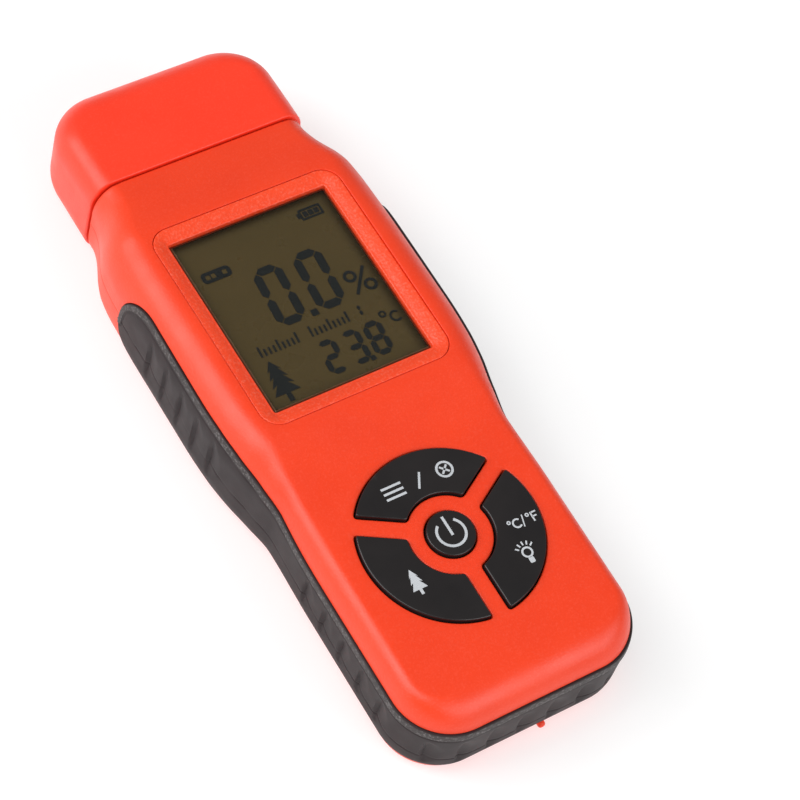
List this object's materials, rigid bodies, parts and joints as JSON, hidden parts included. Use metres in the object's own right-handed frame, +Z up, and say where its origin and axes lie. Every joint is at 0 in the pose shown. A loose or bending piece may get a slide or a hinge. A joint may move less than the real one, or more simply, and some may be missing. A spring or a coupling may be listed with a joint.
{
  "type": "moisture meter",
  "caption": "Hand-held two-pin wood moisture meter with a display, a round field of keys, a rubber grip band and a pull-off cap over the pins.",
  "frame": {"origin": "on the surface the meter lies on, below the middle of its bounding box", "axes": "+Z up out of the display face, +Y along the meter towards the pins and cap, +X to the right of somebody reading the display"},
  "size_m": [0.0598, 0.158, 0.0268],
  "materials": {
    "red_shell": "semi-matte moulded plastic with a fine spark-eroded grain",
    "red_cap": "semi-matte moulded plastic, a little smoother than the housing",
    "grip_rubber": "matt over-moulded rubber",
    "key_black": "satin black key with glossy bevels",
    "clear_window": "clear polished window",
    "lcd_glass": "olive brown display glass",
    "backlight": "milky light guide",
    "elastomer": "striped connector rubber",
    "board_green": "green solder mask",
    "black_plastic": "black moulded plastic",
    "chrome": "bright plated steel",
    "brass": "turned brass",
    "steel": "plated steel",
    "cell_wrap": "printed cell sleeve"
  },
  "bodies": {
    "housing": {"front_cover": "red_shell", "back_cover": "red_shell", "grip_band": "grip_rubber", "display_bezel": "red_shell", "display_lens": "clear_window", "lcd_panel": "lcd_glass", "lcd_backlight": "backlight", "lcd_connector_upper": "elastomer", "lcd_connector_lower": "elastomer", "power_switch": "black_plastic", "mode_switch": "black_plastic", "tree_switch": "black_plastic", "light_switch": "black_plastic", "circuit_board": "board_green", "measuring_chip": "black_plastic", "buzzer": "black_plastic", "battery_cell_left": "cell_wrap", "battery_cell_middle": "cell_wrap", "battery_cell_right": "cell_wrap", "battery_contact_upper": "steel", "battery_contact_lower": "steel", "pin_block": "red_shell", "pin_left": "chrome", "pin_insert_left": "brass", "pin_right": "chrome", "pin_insert_right": "brass", "case_screw_lower_left": "steel", "case_screw_lower_right": "steel", "case_screw_upper_left": "steel", "case_screw_upper_right": "steel"},
    "cap": {"cap": "red_cap"},
    "battery_door": {"battery_door": "red_shell"},
    "power_key": {"power_button": "key_black", "power_switch_plunger": "black_plastic"},
    "mode_key": {"mode_button": "key_black", "mode_switch_plunger": "black_plastic"},
    "tree_key": {"tree_button": "key_black", "tree_switch_plunger": "black_plastic"},
    "light_key": {"light_button": "key_black", "light_switch_plunger": "black_plastic"}
  },
  "joints": [
    {"name": "cap_pull_off", "type": "slide", "parent": "housing", "child": "cap", "axis": [0, 1, 0], "range_m": [0, 0.03]},
    {"name": "battery_door_swing", "type": "hinge", "parent": "housing", "child": "battery_door", "pos_m": [0, -0.026, 0.001], "axis": [1, 0, 0], "range_deg": [0, 75]},
    {"name": "power_key_press", "type": "slide", "parent": "housing", "child": "power_key", "axis": [0, 0, -1], "range_m": [0, 0.0006], "stiffness_N_per_m": 800},
    {"name": "mode_key_press", "type": "slide", "parent": "housing", "child": "mode_key", "axis": [0, 0, -1], "range_m": [0, 0.0006], "stiffness_N_per_m": 800},
    {"name": "tree_key_press", "type": "slide", "parent": "housing", "child": "tree_key", "axis": [0, 0, -1], "range_m": [0, 0.0006], "stiffness_N_per_m": 800},
    {"name": "light_key_press", "type": "slide", "parent": "housing", "child": "light_key", "axis": [0, 0, -1], "range_m": [0, 0.0006], "stiffness_N_per_m": 800}
  ]
}
